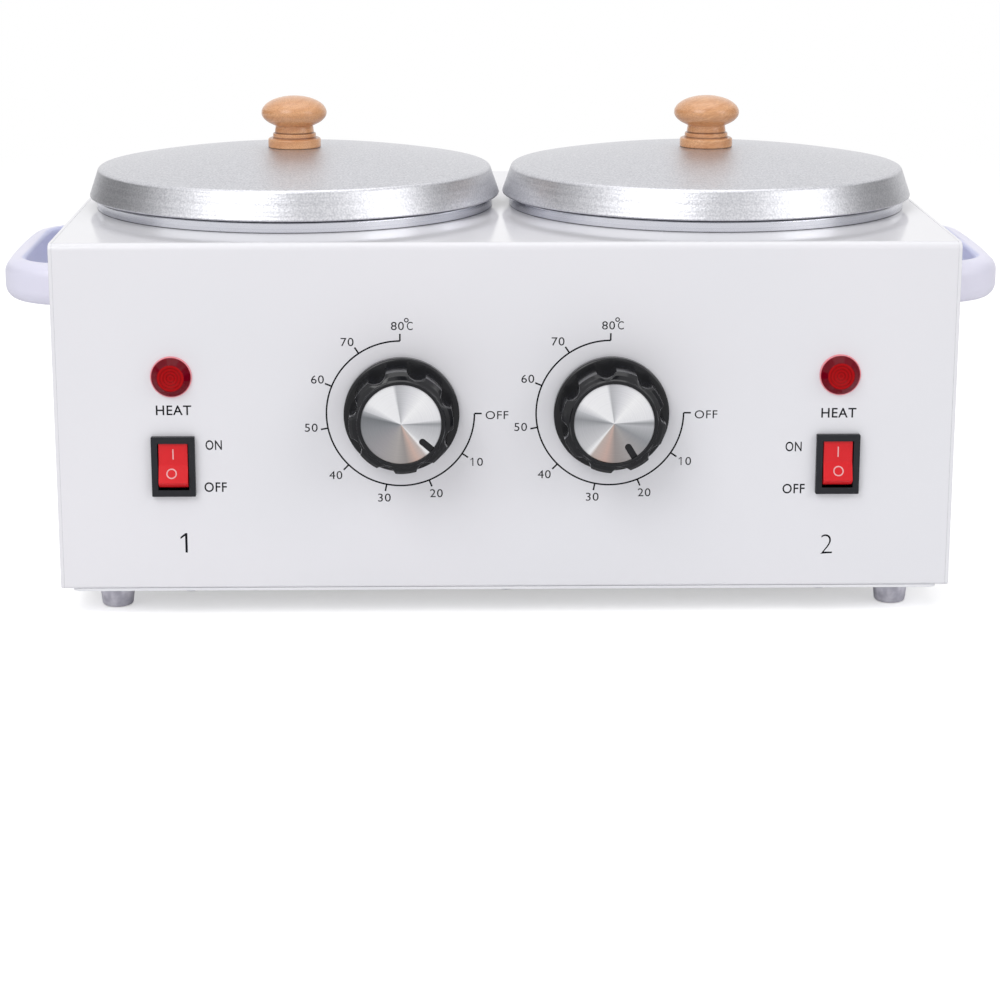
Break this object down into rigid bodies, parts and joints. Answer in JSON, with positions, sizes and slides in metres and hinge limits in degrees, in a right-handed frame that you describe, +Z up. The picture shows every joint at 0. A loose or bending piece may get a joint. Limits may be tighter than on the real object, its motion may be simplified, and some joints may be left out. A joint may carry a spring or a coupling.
{
  "type": "double wax warmer",
  "caption": "Electric warmer with a sheet steel box, round wells side by side under domed lift-off lids, and a dial, rocker switch and pilot lamp for each well.",
  "frame": {"origin": "on the table, under the middle of the object's bounding box", "axes": "+Z up, -Y towards the user (the panel with the dials), +X to the user's right"},
  "size_m": [0.361, 0.2126, 0.1715],
  "materials": {
    "enamel": "glossy powder coat on folded sheet steel",
    "handle": "moulded, satin gloss",
    "foot": "soft grey, slightly translucent",
    "lid_aluminium": "bead-blasted satin",
    "well_aluminium": "satin, turned inside",
    "cap_aluminium": "circular brushed",
    "beech": "turned and varnished",
    "dial_black": "moulded, gloss",
    "black_plastic": "moulded, fine texture",
    "rocker_red": "moulded, gloss",
    "lens_red": "clear red",
    "block_plastic": "moulded",
    "felt": "woven glass wool",
    "heater_cast": "as cast",
    "bright_steel": "rolled",
    "zinc": "zinc plated",
    "copper_brass": "drawn",
    "wire_brown": "insulated",
    "wire_blue": "insulated",
    "wire_green": "insulated"
  },
  "bodies": {
    "casing": {"cover_wrap": "enamel", "side_panel_left": "enamel", "side_panel_right": "enamel", "base_plate": "enamel", "base_screws": "zinc", "foot_front_left": "foot", "foot_front_right": "foot", "foot_rear_left": "foot", "foot_rear_right": "foot", "foot_screws": "zinc", "handle_left": "handle", "handle_right": "handle", "handle_screws": "zinc", "pot_left": "well_aluminium", "pot_right": "well_aluminium", "insulation_left": "felt", "insulation_right": "felt", "heater_left": "heater_cast", "heater_right": "heater_cast", "strap_left": "bright_steel", "strap_right": "bright_steel", "stud_nuts": "zinc", "thermal_cutout_left": "black_plastic", "thermal_cutout_right": "black_plastic", "thermostat_left": "bright_steel", "thermostat_right": "bright_steel", "thermostat_screws": "zinc", "sensor_left": "copper_brass", "sensor_right": "copper_brass", "switch_body_left": "black_plastic", "switch_body_right": "black_plastic", "switch_contacts_left": "copper_brass", "switch_contacts_right": "copper_brass", "lamp_lens_left": "lens_red", "lamp_lens_right": "lens_red", "lamp_barrel_left": "black_plastic", "lamp_barrel_right": "black_plastic", "power_inlet": "black_plastic", "inlet_pins": "copper_brass", "inlet_screws": "zinc", "terminal_block": "block_plastic", "live_wires": "wire_brown", "neutral_wires": "wire_blue", "earth_wire": "wire_green"},
    "left_lid": {"lid_left": "lid_aluminium", "lid_knob_left": "beech", "lid_screw_left": "zinc"},
    "left_dial": {"dial_knob_left": "dial_black", "dial_cap_left": "cap_aluminium", "dial_spindle_left": "bright_steel"},
    "left_rocker": {"rocker_left": "rocker_red"},
    "right_lid": {"lid_right": "lid_aluminium", "lid_knob_right": "beech", "lid_screw_right": "zinc"},
    "right_dial": {"dial_knob_right": "dial_black", "dial_cap_right": "cap_aluminium", "dial_spindle_right": "bright_steel"},
    "right_rocker": {"rocker_right": "rocker_red"}
  },
  "joints": [
    {"name": "lid_left_lift", "type": "slide", "parent": "casing", "child": "left_lid", "axis": [0, 0, 1], "range_m": [0, 0.06]},
    {"name": "dial_left_turn", "type": "hinge", "parent": "casing", "child": "left_dial", "pos_m": [-0.036, -0.08805, 0.0727], "axis": [0, 1, 0], "range_deg": [-40, 230]},
    {"name": "rocker_left_tilt", "type": "hinge", "parent": "casing", "child": "left_rocker", "pos_m": [-0.1146, -0.08585, 0.0544], "axis": [1, 0, 0], "range_deg": [0, 22]},
    {"name": "lid_right_lift", "type": "slide", "parent": "casing", "child": "right_lid", "axis": [0, 0, 1], "range_m": [0, 0.06]},
    {"name": "dial_right_turn", "type": "hinge", "parent": "casing", "child": "right_dial", "pos_m": [0.036, -0.08805, 0.0727], "axis": [0, 1, 0], "range_deg": [-59, 211]},
    {"name": "rocker_right_tilt", "type": "hinge", "parent": "casing", "child": "right_rocker", "pos_m": [0.1146, -0.08585, 0.0544], "axis": [1, 0, 0], "range_deg": [0, 22]}
  ]
}
